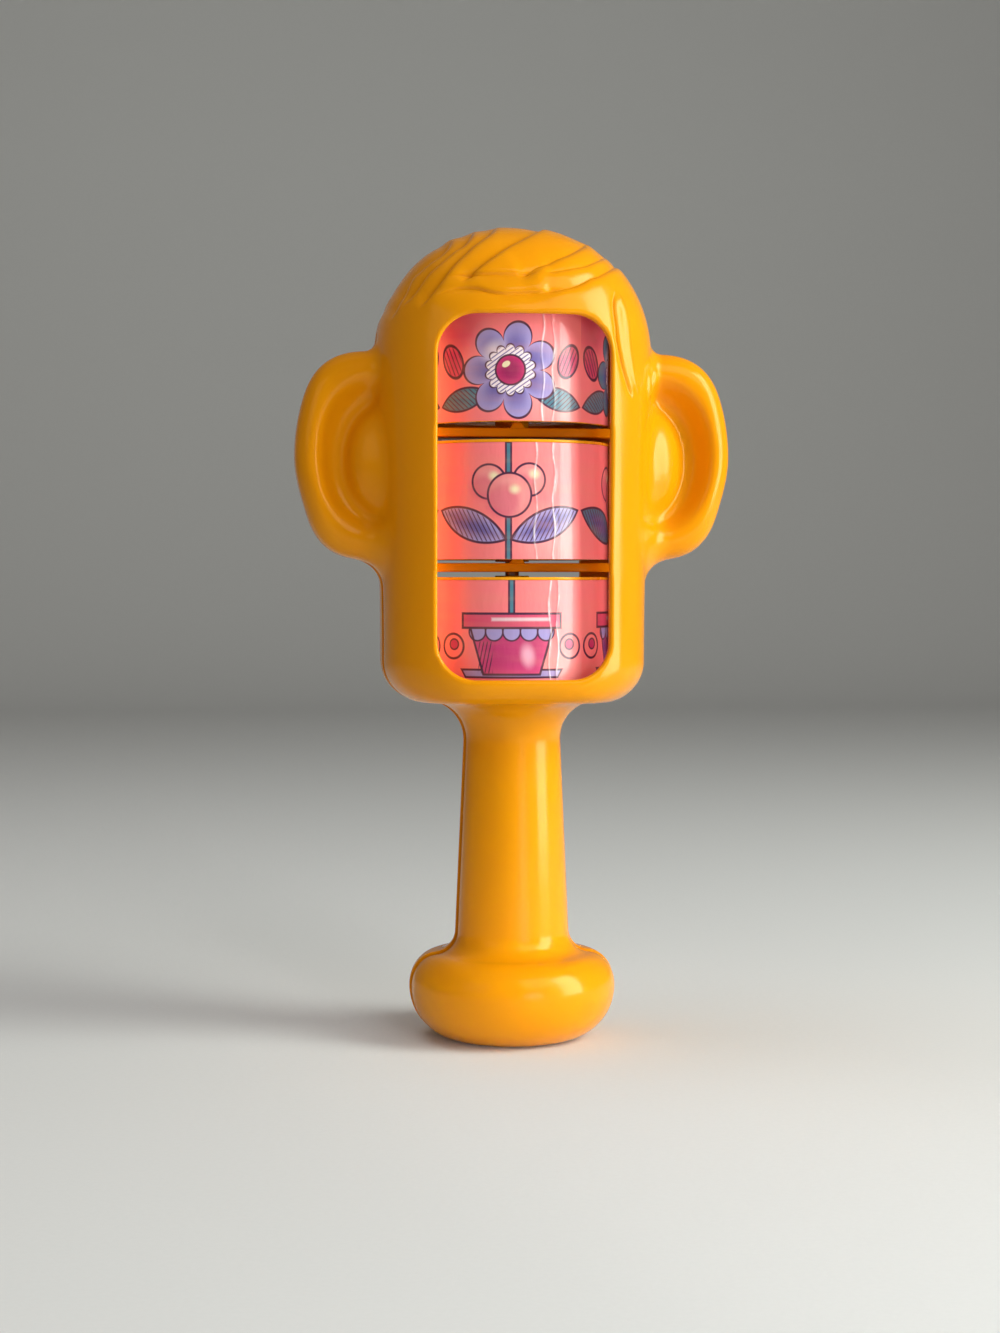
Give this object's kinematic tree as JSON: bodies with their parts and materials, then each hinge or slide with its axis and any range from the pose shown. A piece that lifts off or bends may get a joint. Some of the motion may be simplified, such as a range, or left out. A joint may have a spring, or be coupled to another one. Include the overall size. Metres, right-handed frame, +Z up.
{
  "type": "rotating puzzle rattle",
  "caption": "Head-shaped plastic baby rattle on a knobbed handle, with picture drums that turn one by one behind an open window to mix and match a picture.",
  "frame": {"origin": "centre of the knob's flat base, midway in width and depth, on the surface it stands on", "axes": "+Z up the handle and the drums' axle, +X to the right seen from the front, front window faces -Y"},
  "size_m": [0.0942, 0.0502, 0.176],
  "materials": {
    "case_plastic": "glossy moulded yellow-orange plastic",
    "drum_plastic": "moulded yellow plastic, slightly duller than the case",
    "label_print": "printed pink label under a thin glossy film",
    "axle_steel": "plain drawn rod",
    "bead_plastic": "plain white beads"
  },
  "bodies": {
    "housing": {"front_shell": "case_plastic", "rear_shell": "case_plastic", "axle": "axle_steel"},
    "lower_drum": {"lower_drum_cup": "drum_plastic", "lower_drum_lid": "drum_plastic", "lower_drum_label": "label_print"},
    "lower_beads": {"lower_drum_bead_1": "bead_plastic", "lower_drum_bead_2": "bead_plastic", "lower_drum_bead_3": "bead_plastic"},
    "middle_drum": {"middle_drum_cup": "drum_plastic", "middle_drum_lid": "drum_plastic", "middle_drum_label": "label_print"},
    "middle_beads": {"middle_drum_bead_1": "bead_plastic", "middle_drum_bead_2": "bead_plastic", "middle_drum_bead_3": "bead_plastic"},
    "upper_drum": {"upper_drum_cup": "drum_plastic", "upper_drum_lid": "drum_plastic", "upper_drum_label": "label_print"},
    "upper_beads": {"upper_drum_bead_1": "bead_plastic", "upper_drum_bead_2": "bead_plastic", "upper_drum_bead_3": "bead_plastic"}
  },
  "joints": [
    {"name": "lower_drum_spin", "type": "hinge", "parent": "housing", "child": "lower_drum", "pos_m": [0, 0, 0.0785], "axis": [0, 0, 1], "continuous": true},
    {"name": "lower_beads_roll", "type": "hinge", "parent": "lower_drum", "child": "lower_beads", "pos_m": [0, 0, 0.0785], "axis": [0, 0, 1], "continuous": true},
    {"name": "middle_drum_spin", "type": "hinge", "parent": "housing", "child": "middle_drum", "pos_m": [0, 0, 0.1072], "axis": [0, 0, 1], "continuous": true},
    {"name": "middle_beads_roll", "type": "hinge", "parent": "middle_drum", "child": "middle_beads", "pos_m": [0, 0, 0.1072], "axis": [0, 0, 1], "continuous": true},
    {"name": "upper_drum_spin", "type": "hinge", "parent": "housing", "child": "upper_drum", "pos_m": [0, 0, 0.1359], "axis": [0, 0, 1], "continuous": true},
    {"name": "upper_beads_roll", "type": "hinge", "parent": "upper_drum", "child": "upper_beads", "pos_m": [0, 0, 0.1359], "axis": [0, 0, 1], "continuous": true}
  ]
}
